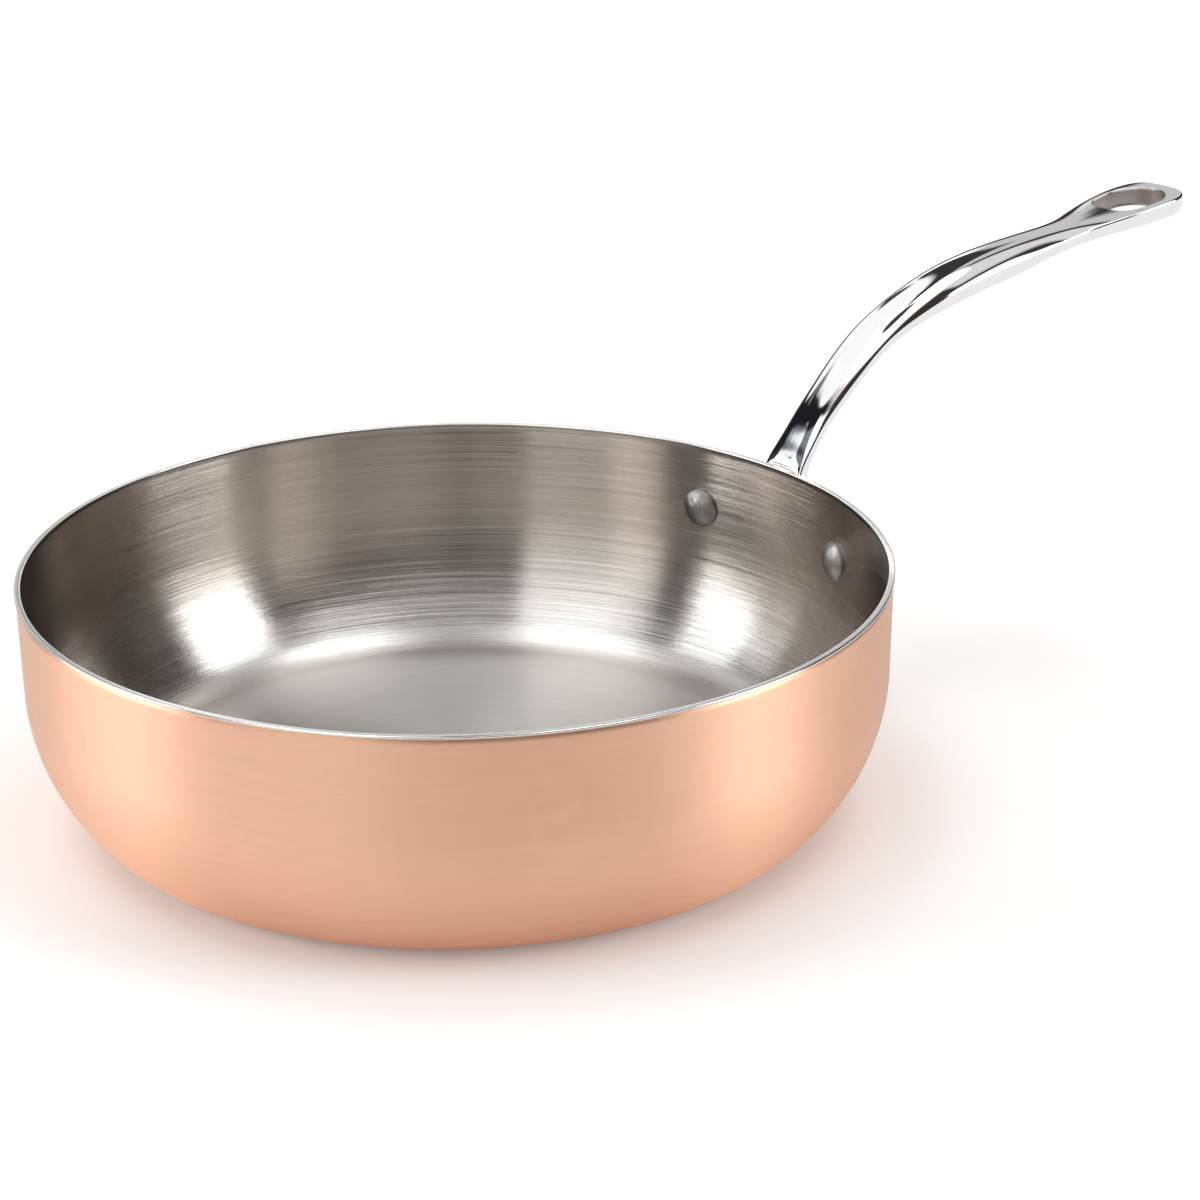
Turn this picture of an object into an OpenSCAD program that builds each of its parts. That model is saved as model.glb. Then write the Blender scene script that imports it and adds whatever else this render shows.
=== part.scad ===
// Round saute pan: a three-ply bowl with a rolled rim, and a long cast handle held by two rivets.
// The origin is the centre of the flat base's underside, +Z is up and the handle runs along +X.

/* [Bowl] */
// Outer diameter over the rim bead
rim_d = 280; // [240:1:320]
// Height of the rim's top above the base's underside
pan_h = 80; // [72:1:100]
// Lean of the straight upper wall away from vertical, in degrees
wall_lean = 0.5; // [0:0.1:4]
// Radius of the long curve below the straight wall, on the outside
wall_curve_r = 61; // [50:1:66]
// Radius of the tighter curve that runs into the base, on the outside
base_curve_r = 19; // [10:1:30]
// Slope of the side where the two curves meet, in degrees
curve_meet = 42; // [36:1:50]

/* [Plies] */
// Thickness of the copper skin
copper_t = 0.3; // [0.3:0.1:1.5]
// Thickness of the aluminium core
core_t = 1; // [0.8:0.1:3]
// Thickness of the steel lining
lining_t = 0.4; // [0.3:0.1:1]

/* [Rim] */
// Height of the bead that closes the plies' top edge
bead_h = 0.9; // [0.8:0.1:2]
// How far the bead stands out past the copper
bead_lip = 0.4; // [0.3:0.1:1.2]
// Rounding of the bead's inner top edge
bead_inner_r = 0.3; // [0.2:0.05:0.4]

/* [Rivets] */
// Straight distance between the rivet axes at the wall's inner face
rivet_pitch = 70; // [56:1:90]
// Depth of the rivet axes below the rim's top
rivet_drop = 23; // [20:1:28]
// Shank diameter
rivet_d = 6; // [5:0.5:7]
// Diameter of the domed head inside the bowl
head_d = 13.6; // [11:0.2:16]
// Height of the head inside the bowl
head_h = 3.5; // [2:0.1:4.5]
// Diameter of the closed head on the flange
tail_d = 12; // [10:0.5:14]
// Height of the closed head on the flange
tail_h = 2.4; // [1.6:0.1:3]
// Height of the straight edge below each dome
head_edge = 1; // [0.4:0.1:1.2]
// Radial clearance of the shank in its holes
rivet_fit = 0.05; // [0.02:0.01:0.2]

/* [Flange] */
// Thickness of the flange that hugs the wall
flange_t = 3.5; // [2.5:0.1:5]
// Radius of the flange's ears around the rivets
ear_r = 10.5; // [8:0.5:12]
// Width of the flange's neck where the handle leaves it
neck_w = 19; // [16:0.5:24]
// Radius of the hollow between each ear and the neck
shoulder_r = 11; // [6:0.5:14]
// Clearance between the handle and the rim bead
bead_gap = 0.3; // [0.1:0.1:0.8]

/* [Handle] */
// Reach of the handle from the rim's edge to its tip
handle_reach = 194; // [160:1:230]
// Rise of the handle's top edge line from the rim to the tip
handle_rise = 71; // [50:1:95]
// Width at the broad tip
handle_w = 28.6; // [26:0.2:34]
// Greatest thickness of the handle's side face
handle_t = 6.8; // [5:0.1:9]
// Greatest height of the domed top above its edge lines
handle_dome = 5.2; // [3:0.1:7]
// Length over which the tip's plan rounds off
tip_round = 16; // [12:0.5:20]

/* [Hanging eye] */
// Length of the hanging eye along the handle
eye_l = 30.2; // [20:0.2:34]
// Width of the hanging eye
eye_w = 24.4; // [12:0.2:25]
// Metal left between the eye and the tip
eye_end = 4.8; // [4:0.2:8]

/* [Hidden] */

// Length by which every cut runs past the face it opens
overrun = 2;
// Facets of the circles that make round solids
round_sides = 180;

rim_r = rim_d / 2;
bead_z = pan_h - bead_h;
copper_r = rim_r - bead_lip;
total_t = copper_t + core_t + lining_t;
rivet_z = pan_h - rivet_drop;

// The outer profile is a straight wall, a long curve and a tight curve, each tangent to the next.
wall_curve_z = base_curve_r * (1 - sin(curve_meet)) + wall_curve_r * sin(curve_meet);
wall_foot_z = wall_curve_z - wall_curve_r * sin(wall_lean);
wall_curve_x = copper_r - (pan_h - wall_foot_z) * tan(wall_lean) - wall_curve_r * cos(wall_lean);
wall_centre = [wall_curve_x, wall_curve_z];
base_centre = wall_centre - (wall_curve_r - base_curve_r) * [-cos(curve_meet), sin(curve_meet)];

// Point at a heading on a circle, with 0 to the right and -90 straight down.
function on_circle(centre, r, heading) = centre + r * [cos(heading), sin(heading)];

// Point of the straight wall, moved in from the outer face by an inset, at a height.
function wall_point(inset, z) =
    let (foot = on_circle(wall_centre, wall_curve_r - inset, -wall_lean))
    [foot.x + (z - foot.y) * tan(wall_lean), z];

// Slice of a disc about a centre between two headings.
module disc_slice(centre, r, from, to) {
    reach = 2 * r;
    intersection() {
        translate(centre) circle(r = r, $fn = round_sides);
        polygon([
            centre,
            on_circle(centre, reach, from),
            on_circle(centre, reach, (from + to) / 2),
            on_circle(centre, reach, to)
        ]);
    }
}

// Half section of everything inside the outer face moved in by an inset, up to a height.
module bowl_area(inset, top) {
    union() {
        polygon([
            [0, inset],
            [base_centre.x, inset],
            on_circle(wall_centre, wall_curve_r - inset, -curve_meet),
            on_circle(wall_centre, wall_curve_r - inset, -wall_lean),
            wall_point(inset, top),
            [0, top]
        ]);
        disc_slice(base_centre, base_curve_r - inset, -90, -curve_meet);
        disc_slice(wall_centre, wall_curve_r - inset, -curve_meet, -wall_lean);
    }
}

// Solid of revolution of the bowl's section.
module bowl_body(inset, top) {
    rotate_extrude($fn = round_sides) bowl_area(inset, top);
}

// Half section of one ply, between two insets from the outer face.
module ply_area(outer, inner) {
    difference() {
        bowl_area(outer, bead_z);
        bowl_area(inner, bead_z + overrun);
    }
}

// Half section of the rim bead: flat on top, full round outside and eased inside.
module bead_area() {
    outer_r = bead_h / 2;
    inner_r = min(bead_inner_r, outer_r);
    inner_x = wall_point(total_t, bead_z).x;
    translate([inner_x, bead_z]) square([inner_r, bead_h - inner_r]);
    translate([inner_x + inner_r, bead_z]) square([rim_r - outer_r - inner_x - inner_r, bead_h]);
    translate([inner_x + inner_r, pan_h - inner_r]) circle(r = inner_r, $fn = round_sides);
    translate([rim_r - outer_r, pan_h - outer_r]) circle(r = outer_r, $fn = round_sides);
}

// Heading of each rivet about the pan's axis
rivet_turn = asin(rivet_pitch / 2 / wall_point(total_t, rivet_z).x);

// Stands its children on a rivet axis, with their +Z pointing outward from the pan's axis.
module on_rivet(side) {
    rotate([0, 0, side * rivet_turn]) translate([0, 0, rivet_z]) rotate([0, 90, 0]) children();
}

// Holes for both shanks, through every ply and the flange.
module rivet_holes() {
    from = wall_point(total_t, rivet_z).x - overrun;
    to = wall_point(-flange_t, rivet_z).x + overrun;
    for (side = [-1, 1])
        on_rivet(side)
            translate([0, 0, from]) cylinder(r = rivet_d / 2 + rivet_fit, h = to - from, $fn = round_sides);
}

// Domed head on a straight edge. It starts one sink below its seat, to be trimmed to the seat's curve.
module rivet_head(d, h, sink) {
    dome = h - head_edge;
    dome_r = (dome * dome + d * d / 4) / (2 * dome);
    rotate_extrude($fn = round_sides) {
        translate([0, -sink]) square([d / 2, head_edge + sink]);
        intersection() {
            translate([0, h - dome_r]) circle(r = dome_r, $fn = round_sides);
            translate([0, head_edge - sink]) square([d / 2, dome + sink]);
        }
    }
}

// One rivet: a shank, a domed head trimmed to the lining and a closed head trimmed to the flange.
module rivet(side) {
    inner_x = wall_point(total_t, rivet_z).x;
    outer_x = wall_point(-flange_t, rivet_z).x;
    sink = head_edge;
    on_rivet(side)
        translate([0, 0, inner_x - head_edge])
            cylinder(r = rivet_d / 2, h = outer_x - inner_x + 2 * head_edge, $fn = round_sides);
    intersection() {
        on_rivet(side) translate([0, 0, inner_x]) mirror([0, 0, 1]) rivet_head(head_d, head_h, sink);
        bowl_body(total_t, pan_h);
    }
    difference() {
        on_rivet(side) translate([0, 0, outer_x]) rivet_head(tail_d, tail_h, sink);
        bowl_body(-flange_t, pan_h);
    }
}

// Flange: a shell on the wall's outer face, cut to two ears, a web between them and a waisted neck.
module flange() {
    ear_y = wall_point(-flange_t / 2, rivet_z).x * sin(rivet_turn);
    web_low = rivet_z - ear_r;
    web_top = rivet_z + ear_r;
    neck_top = bead_z - bead_gap;
    shoulder = min(shoulder_r, ear_y - neck_w / 2);
    intersection() {
        difference() {
            bowl_body(-flange_t, pan_h);
            bowl_body(0, pan_h + overrun);
        }
        union() {
            rotate([90, 0, 90]) linear_extrude(rim_r + flange_t + overrun) {
                translate([-ear_y, web_low]) square([2 * ear_y, web_top - web_low]);
                translate([-neck_w / 2, web_low]) square([neck_w, neck_top - web_low]);
                difference() {
                    translate([-neck_w / 2 - shoulder, web_low])
                        square([neck_w + 2 * shoulder, web_top + shoulder - web_low]);
                    for (side = [-1, 1])
                        translate([side * (neck_w / 2 + shoulder), web_top + shoulder])
                            circle(r = shoulder, $fn = round_sides);
                    translate([-rim_r, neck_top]) square([2 * rim_r, shoulder + overrun]);
                }
            }
            for (side = [-1, 1])
                on_rivet(side) cylinder(r = ear_r, h = rim_r + flange_t + overrun, $fn = round_sides);
        }
    }
}

// Stations of the handle's sweep. Each is [distance past the rim's edge, height over the rim,
// width, dome height, side thickness]. The first rows run up the wall behind the rim.
root_x = -bead_lip - bead_gap;
root_z_shares = [-1.40, -1.04, -0.65, -0.30];
root_w_shares = [0.70, 0.70, 0.68, 0.66];
root_t_shares = [0.40, 0.45, 0.66, 0.76];
root_dome_share = 0.12;
// Shares of the reach, the rise, the tip's width, the greatest dome and the greatest thickness.
grip_shares = [
    [0.000, 0.005, 0.63, 0.17, 0.66],
    [0.030, 0.095, 0.565, 0.30, 0.45],
    [0.062, 0.215, 0.55, 0.40, 0.46],
    [0.104, 0.325, 0.57, 0.44, 0.44],
    [0.162, 0.475, 0.63, 0.47, 0.43],
    [0.225, 0.605, 0.64, 0.60, 0.48],
    [0.320, 0.698, 0.70, 0.92, 0.60],
    [0.422, 0.780, 0.75, 1.00, 0.83],
    [0.547, 0.825, 0.715, 0.95, 0.83],
    [0.650, 0.858, 0.61, 0.72, 0.58],
    [0.737, 0.898, 0.615, 0.36, 0.69],
    [0.814, 0.938, 0.865, 0.18, 0.83],
    [0.897, 0.973, 1.01, 0.16, 1.02],
    [0.958, 0.988, 1.00, 0.16, 0.97],
    [1.000, 0.996, 1.00, 0.16, 0.97],
    [1.042, 1.003, 1.00, 0.16, 0.97]
];
grip_size = [handle_reach, handle_rise, handle_w, handle_dome, handle_t];
stations = concat(
    [for (i = [0:len(root_z_shares) - 1]) [
        root_x,
        root_z_shares[i] * rivet_drop,
        root_w_shares[i] * handle_w,
        root_dome_share * handle_dome,
        root_t_shares[i] * handle_t
    ]],
    [for (row = grip_shares) [for (i = [0:4]) row[i] * grip_size[i]]]
);
// Spans of the smooth curve through the stations
spans = len(stations) - 3;

// Uniform cubic B-spline of the stations, and its slope.
function station_at(t) =
    let (i = min(floor(t), spans - 1), u = t - i, v = 1 - u)
    (v * v * v * stations[i] + (3 * u * u * u - 6 * u * u + 4) * stations[i + 1]
        + (3 * v * v * v - 6 * v * v + 4) * stations[i + 2] + u * u * u * stations[i + 3]) / 6;
function heading_at(t) =
    let (i = min(floor(t), spans - 1), u = t - i, v = 1 - u,
        step = (-v * v * stations[i] + (3 * u * u - 4 * u) * stations[i + 1]
            + (1 + 2 * u - 3 * u * u) * stations[i + 2] + u * u * stations[i + 3]))
    atan2(step[1], step[0]);

// Share of the full width left at a distance past the rim, as the tip's plan rounds off.
tip_power = 3.3;
function tip_share(x) =
    let (k = (x - handle_reach + tip_round) / tip_round)
    k <= 0 ? 1 : pow(max(1 - pow(k, tip_power), 0), 1 / tip_power);

// Where the sweep's parameter reaches a distance past the rim, by halving.
function span_of(x, low = 0, high = spans, steps = 30) =
    let (mid = (low + high) / 2)
    steps == 0 ? mid
        : station_at(mid)[0] < x ? span_of(x, mid, high, steps - 1)
        : span_of(x, low, mid, steps - 1);

// Rings every third of a span along the grip, and closer and closer towards the tip.
rings_per_span = 3;
tip_rings = 14;
tip_start = floor(span_of(handle_reach - tip_round));
tip_full_share = 0.9995;
ring_spans = concat(
    [for (i = [0:tip_start * rings_per_span - 1]) i / rings_per_span],
    [for (i = [0:tip_rings])
        let (from = station_at(tip_start)[0], way = tip_full_share * handle_reach - from)
        span_of(from + way * sin(90 * i / tip_rings))]
);

// One ring of the handle: a domed top, straight sides and rounded lower edges.
dome_sides = 12;
corner_sides = 3;
dome_power = 2.2;
corner_share = 0.4;
ring_points = dome_sides + 1 + 2 * (corner_sides + 1);
function ring_outline(w, dome, t) =
    let (corner = corner_share * min(t, w / 2))
    concat(
        [for (i = [0:dome_sides])
            let (s = 1 - 2 * i / dome_sides) [s * w / 2, dome * (1 - pow(abs(s), dome_power))]],
        [for (i = [0:corner_sides])
            let (a = 90 * i / corner_sides) [-w / 2 + corner * (1 - cos(a)), -t + corner * (1 - sin(a))]],
        [for (i = [corner_sides:-1:0])
            let (a = 90 * i / corner_sides) [w / 2 - corner * (1 - cos(a)), -t + corner * (1 - sin(a))]]
    );
function ring(t) =
    let (row = station_at(t), lean = heading_at(t))
    [for (p = ring_outline(row[2] * tip_share(row[0]), row[3], row[4]))
        [rim_r + row[0] - p.y * sin(lean), p.x, pan_h + row[1] + p.y * cos(lean)]];

// Sweep of the rings along the stations, closed at both ends.
module grip_sweep() {
    rings = [for (t = ring_spans) ring(t)];
    last = len(rings) - 1;
    n = ring_points;
    points = [for (r = rings) for (p = r) p];
    sides = [for (j = [0:last - 1]) for (i = [0:n - 1])
        let (a = j * n + i, b = j * n + (i + 1) % n)
        each [[a, a + n, b], [b, a + n, b + n]]];
    root_cap = [[for (i = [0:n - 1]) i]];
    tip_cap = [[for (i = [n - 1:-1:0]) last * n + i]];
    polyhedron(points = points, faces = concat(sides, root_cap, tip_cap));
}

// The eye's widest place, as a share of its length from the end nearer the bowl
eye_wide_share = 0.61;
eye_root_power = 2.7;
eye_points = 48;
eye_x = handle_reach - eye_end - (1 - eye_wide_share) * eye_l;
eye_span = span_of(eye_x);

// Plan of the eye about its widest place: blunt towards the bowl and round towards the tip.
function eye_outline() =
    [for (i = [0:eye_points - 1])
        let (a = 360 * i / eye_points, power = cos(a) < 0 ? eye_root_power : 2,
            length = (cos(a) < 0 ? eye_wide_share : 1 - eye_wide_share) * eye_l)
        [
            length * sign(cos(a)) * pow(abs(cos(a)), 2 / power),
            eye_w / 2 * sign(sin(a)) * pow(abs(sin(a)), 2 / power)
        ]];

// Cut of the hanging eye, square to the handle where the eye is widest.
module eye_cut() {
    depth = handle_t + handle_dome + overrun;
    translate([rim_r + eye_x, 0, pan_h + station_at(eye_span)[1]])
        rotate([0, -heading_at(eye_span), 0])
            translate([0, 0, -depth]) linear_extrude(2 * depth) polygon(eye_outline());
}

// Outer skin of copper, from the base to just under the rim bead.
module copper_skin() {
    color("#dd9f7c") difference() {
        rotate_extrude($fn = round_sides) ply_area(0, copper_t);
        rivet_holes();
    }
}

// Sealed core that spreads the heat.
module aluminium_core() {
    color("#c9cbcd") difference() {
        rotate_extrude($fn = round_sides) ply_area(copper_t, copper_t + core_t);
        rivet_holes();
    }
}

// Cooking surface, with the bead that is rolled out over the edges of the other plies.
module steel_lining() {
    color("#a09a92") difference() {
        rotate_extrude($fn = round_sides) {
            ply_area(copper_t + core_t, total_t);
            bead_area();
        }
        rivet_holes();
    }
}

// One casting: the flange on the wall, and the grip with its hanging eye.
module handle() {
    color("#dfe1e4") difference() {
        union() {
            flange();
            grip_sweep();
        }
        bowl_body(0, bead_z);
        translate([0, 0, bead_z - bead_gap])
            cylinder(r = rim_r + bead_gap, h = 3 * bead_h, $fn = round_sides);
        rivet_holes();
        eye_cut();
    }
}

// Rivet on the +Y side of the handle.
module rivet_left() {
    color("#8f9090") rivet(1);
}

// Rivet on the -Y side of the handle.
module rivet_right() {
    color("#8f9090") rivet(-1);
}

copper_skin();
aluminium_core();
steel_lining();
handle();
rivet_left();
rivet_right();
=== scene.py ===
import math

import bmesh
import bpy
import numpy as np
from mathutils import Matrix


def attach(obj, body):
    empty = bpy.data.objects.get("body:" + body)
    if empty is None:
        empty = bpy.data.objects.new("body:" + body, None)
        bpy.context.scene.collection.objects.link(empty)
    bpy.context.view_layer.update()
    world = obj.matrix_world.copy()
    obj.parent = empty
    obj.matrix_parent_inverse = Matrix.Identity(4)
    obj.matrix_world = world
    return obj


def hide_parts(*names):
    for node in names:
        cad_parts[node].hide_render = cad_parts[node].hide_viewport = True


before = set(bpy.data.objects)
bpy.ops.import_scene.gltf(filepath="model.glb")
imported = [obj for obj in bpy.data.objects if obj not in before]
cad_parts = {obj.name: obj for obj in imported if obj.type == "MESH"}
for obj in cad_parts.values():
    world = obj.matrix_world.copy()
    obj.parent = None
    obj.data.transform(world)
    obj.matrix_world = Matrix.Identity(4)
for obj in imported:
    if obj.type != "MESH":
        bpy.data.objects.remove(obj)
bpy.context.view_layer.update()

bl_info = {
    "name": "Riveted saute pan",
    "version": (1, 0, 0),
    "blender": (4, 5, 0),
    "location": "3D View > Sidebar > Pan",
    "description": "Builds a three-ply saute pan with a cast handle, piece by piece, and lights it",
    "category": "Add Mesh",
}

# Where the handle's sweep runs behind the rim: heights in rivet drops, then widths, domes and side
# thicknesses in shares of the greatest ones.
ROOT_SHARES = np.array([
    (-1.40, 0.70, 0.12, 0.40),
    (-1.04, 0.70, 0.12, 0.45),
    (-0.65, 0.68, 0.12, 0.66),
    (-0.30, 0.66, 0.12, 0.76),
])

# The grip: shares of the reach, the rise, the tip's width, the greatest dome and side thickness.
GRIP_SHARES = np.array([
    (0.000, 0.005, 0.630, 0.17, 0.66),
    (0.030, 0.095, 0.565, 0.30, 0.45),
    (0.062, 0.215, 0.550, 0.40, 0.46),
    (0.104, 0.325, 0.570, 0.44, 0.44),
    (0.162, 0.475, 0.630, 0.47, 0.43),
    (0.225, 0.605, 0.640, 0.60, 0.48),
    (0.320, 0.698, 0.700, 0.92, 0.60),
    (0.422, 0.780, 0.750, 1.00, 0.83),
    (0.547, 0.825, 0.715, 0.95, 0.83),
    (0.650, 0.858, 0.610, 0.72, 0.58),
    (0.737, 0.898, 0.615, 0.36, 0.69),
    (0.814, 0.938, 0.865, 0.18, 0.83),
    (0.897, 0.973, 1.010, 0.16, 1.02),
    (0.958, 0.988, 1.000, 0.16, 0.97),
    (1.000, 0.996, 1.000, 0.16, 0.97),
    (1.042, 1.003, 1.000, 0.16, 0.97),
])

# Runs along the lining's inner face, in metres from the axis: over the first the matt floor turns into
# the brushed wall, and over the second the plain steel turns into the wall's warmer colour.
FLOOR_TO_WALL = (0.099, 0.125)
NEUTRAL_TO_WARM = (0.122, 0.168)

# Noise values between which the brushed lines and the handling marks go from their least to their most.
LINES_SPAN = (0.3, 0.7)
MARKS_SPAN = (0.4, 1.0)

# Rows of a bowl face that is hidden between two plies.
HIDDEN_ROWS = {"flat": 8, "tight": 8, "long": 20, "wall": 6}

# How far the flange and the rest of the handle stand off the copper, in metres.
FLANGE_GAP = 0.00003
HANDLE_GAP = 0.00002

# The handle's mesh: rows along its shaft and its tip, columns across the shaft, rings round the eye,
# steps of the rounded edges at its side and at the eye, and the metres from the shaft's last row to
# the eye.
SHAFT_ROWS, TIP_ROWS, COLUMNS, EYE_RINGS = 230, 110, 48, 22
SIDE_STEPS, EYE_STEPS = 9, 8
SEAM_GAP = 0.007

# The hanging eye's widest place, as a share of its length from its end towards the bowl.
EYE_WIDEST = 0.61

# The studio's light as the metal sees it: a plain room, then panels laid over it in turn. Each row is
# a label, the middle's heading, the half width, the foot's and the head's height and the soft edge, all
# in degrees, the lean in degrees of heading for each degree of height, and the colour of its light.
ROOM_LIGHT = (0.05, 0.037, 0.033)
PANELS = (
    ("ceiling", 0, 180, 60, 95, 6, 0, (3.3, 3.3, 3.3)),
    ("ceiling behind the camera", -120, 60, 58, 95, 6, 0, (1.6, 1.6, 1.6)),
    ("white side panel, left", -46, 13.5, 4, 40, 3, 0, (5.0, 5.0, 5.0)),
    ("pale arch", -16, 38, 46, 63, 4, 0, (0.80, 0.80, 0.80)),
    ("pale back panel", 40, 8, 14, 56, 3, 0, (0.62, 0.62, 0.62)),
    ("white panel behind the charcoal", 55, 7, 15, 60, 3, 0, (1.7, 1.7, 1.7)),
    ("charcoal panel", 52, 8.5, 24, 79, 2, 0, (0.04, 0.04, 0.043)),
    ("white back panel", 76, 14, 12, 38, 3, 0.5, (1.2, 1.2, 1.2)),
    ("white above the slope", 110, 52, 36, 62, 3, 0, (1.15, 1.15, 1.15)),
    ("blue grey below the slope", 130, 16, 24, 46, 3, 1.6, (0.24, 0.26, 0.30)),
    ("white side panel, right", 146.5, 12, 2, 34, 3, 0, (4.8, 4.8, 4.8)),
    ("white foot panel, right", 128, 8, 0, 26, 3, 0, (3.0, 3.0, 3.0)),
    ("dark slope, foot", 86, 9, 10, 39, 3, 1.3, (0.015, 0.015, 0.018)),
    ("dark slope, head", 119, 19, 36, 60, 4, 2.6, (0.015, 0.015, 0.018)),
    ("streak below the slope", 122, 3, 25, 33, 2, 1.5, (1.1, 1.1, 1.1)),
    ("white front panel, right", -167, 21, 12, 54, 2.5, 0, (1.35, 1.35, 1.35)),
    ("dark middle of the ceiling", 0, 180, 80, 95, 3, 0, (0.05, 0.05, 0.05)),
)


def length_prop(label, text, size):
    return bpy.props.FloatProperty(name=label, description=text, default=size, min=0.0, precision=5,
                                   unit="LENGTH", subtype="DISTANCE")


def angle_prop(label, text, degrees):
    return bpy.props.FloatProperty(name=label, description=text, default=math.radians(degrees),
                                   unit="ROTATION", subtype="ANGLE")


def share_prop(label, text, share):
    return bpy.props.FloatProperty(name=label, description=text, default=share, min=0.0, max=1.0,
                                   subtype="FACTOR")


def colour_prop(label, text, rgb):
    return bpy.props.FloatVectorProperty(name=label, description=text, default=rgb, size=3,
                                         min=0.0, max=1.0, subtype="COLOR")


class BowlSizes(bpy.types.PropertyGroup):
    rim_r: length_prop("Rim radius", "Outer radius over the rim bead", 0.140)
    pan_h: length_prop("Height", "Height of the rim's top above the table", 0.080)
    wall_lean: angle_prop("Wall lean", "Lean of the straight upper wall away from vertical", 0.5)
    wall_curve_r: length_prop("Wall curve", "Radius of the long curve below the wall", 0.061)
    base_curve_r: length_prop("Base curve", "Radius of the tight curve into the base", 0.019)
    curve_meet: angle_prop("Curve meet", "Slope of the side where the two curves meet", 42.0)
    copper_t: length_prop("Copper", "Thickness of the copper skin", 0.0003)
    core_t: length_prop("Core", "Thickness of the aluminium core", 0.0010)
    lining_t: length_prop("Lining", "Thickness of the steel lining", 0.0004)
    bead_h: length_prop("Bead height", "Height of the bead round the rim", 0.0009)
    bead_lip: length_prop("Bead lip", "How far the bead stands out past the copper", 0.0004)
    bead_inner_r: length_prop("Bead ease", "Rounding of the bead's inner top edge", 0.0003)


class RivetSizes(bpy.types.PropertyGroup):
    pitch: length_prop("Pitch", "Distance between the rivets at the wall's inner face", 0.070)
    drop: length_prop("Drop", "Depth of the rivets below the rim's top", 0.023)
    head_d: length_prop("Head", "Diameter of the head inside the bowl", 0.0136)
    head_h: length_prop("Head height", "Height of the head inside the bowl", 0.0035)
    tail_d: length_prop("Tail", "Diameter of the closed head on the flange", 0.012)
    tail_h: length_prop("Tail height", "Height of the closed head on the flange", 0.0024)
    edge: length_prop("Edge", "Height of the straight edge below each dome", 0.0010)
    shank_d: length_prop("Shank", "Diameter of the shank", 0.006)


class HandleSizes(bpy.types.PropertyGroup):
    reach: length_prop("Reach", "Reach of the handle from the rim's edge to its tip", 0.194)
    rise: length_prop("Rise", "Rise of the handle's edge line from the rim to the tip", 0.071)
    width: length_prop("Width", "Width at the broad tip", 0.0286)
    thickness: length_prop("Thickness", "Greatest thickness of the side face", 0.0068)
    dome: length_prop("Dome", "Greatest height of the top above its edge lines", 0.0052)
    tip_round: length_prop("Tip round", "Length over which the tip's plan rounds off", 0.016)
    edge_r: length_prop("Edge radius", "Rounding of the upper edges", 0.0008)
    gap: length_prop("Gap", "Clearance between the handle and the rim bead", 0.0003)
    eye_l: length_prop("Eye length", "Length of the hanging eye along the handle", 0.0302)
    eye_w: length_prop("Eye width", "Width of the hanging eye", 0.0244)
    eye_end: length_prop("Eye end", "Metal left between the eye and the tip", 0.0048)
    flange_t: length_prop("Flange", "Thickness of the flange that hugs the wall", 0.0035)
    ear_r: length_prop("Ears", "Radius of the flange's ears round the rivets", 0.0105)
    neck_w: length_prop("Neck", "Width of the flange's neck", 0.019)
    shoulder_r: length_prop("Shoulder", "Radius of the hollow between ear and neck", 0.011)


class Finishes(bpy.types.PropertyGroup):
    copper: colour_prop("Copper", "Colour of the copper's reflections", (0.94, 0.58, 0.41))
    lining: colour_prop("Lining", "Colour of the steel lining's reflections", (0.61, 0.595, 0.58))
    lining_wall: colour_prop("Lining, wall", "Colour of the lining's wall, warmer than its floor",
                             (0.625, 0.57, 0.515))
    handle: colour_prop("Handle", "Colour of the polished handle's reflections", (0.86, 0.86, 0.87))
    # The eye's wall is matt casting, and its darker colour is painted shade inside the hole.
    cast: colour_prop("Cast metal", "Colour of the unpolished wall of the hanging eye", (0.42, 0.39, 0.37))
    rivet: colour_prop("Rivets", "Colour of the rivets' reflections", (0.36, 0.36, 0.36))
    core: colour_prop("Core", "Colour of the aluminium core", (0.78, 0.79, 0.80))
    copper_rough: share_prop("Copper roughness", "Roughness of the satin copper", 0.42)
    lining_rough: share_prop("Lining roughness", "Roughness of the brushed lining", 0.17)
    floor_rough: share_prop("Floor roughness", "Roughness of the lining's flat floor", 0.42)
    handle_rough: share_prop("Handle roughness", "Roughness of the polished handle", 0.02)


class PanSettings(bpy.types.PropertyGroup):
    bowl: bpy.props.PointerProperty(name="Bowl", type=BowlSizes)
    rivets: bpy.props.PointerProperty(name="Rivets", type=RivetSizes)
    handle: bpy.props.PointerProperty(name="Handle", type=HandleSizes)
    finishes: bpy.props.PointerProperty(name="Finishes", type=Finishes)


class Patch:
    """A grid of points, rows by columns, with a UV pair and a mask value at each point. Flip turns
    its faces over."""

    def __init__(self, points, uv=None, mask=None, flip=False):
        self.points = points
        shape = points.shape[:2]
        self.uv = np.zeros(shape + (2,)) if uv is None else uv
        self.mask = np.zeros(shape) if mask is None else mask
        self.flip = flip


def grid_quads(rows, cols, start, flip):
    """Corner numbers of every cell of a rows-by-cols grid whose first point has the number start."""
    n = start + np.arange(rows * cols).reshape(rows, cols)
    quads = np.stack([n[:-1, :-1], n[:-1, 1:], n[1:, 1:], n[1:, :-1]], -1).reshape(-1, 4)
    return quads[:, ::-1] if flip else quads


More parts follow.
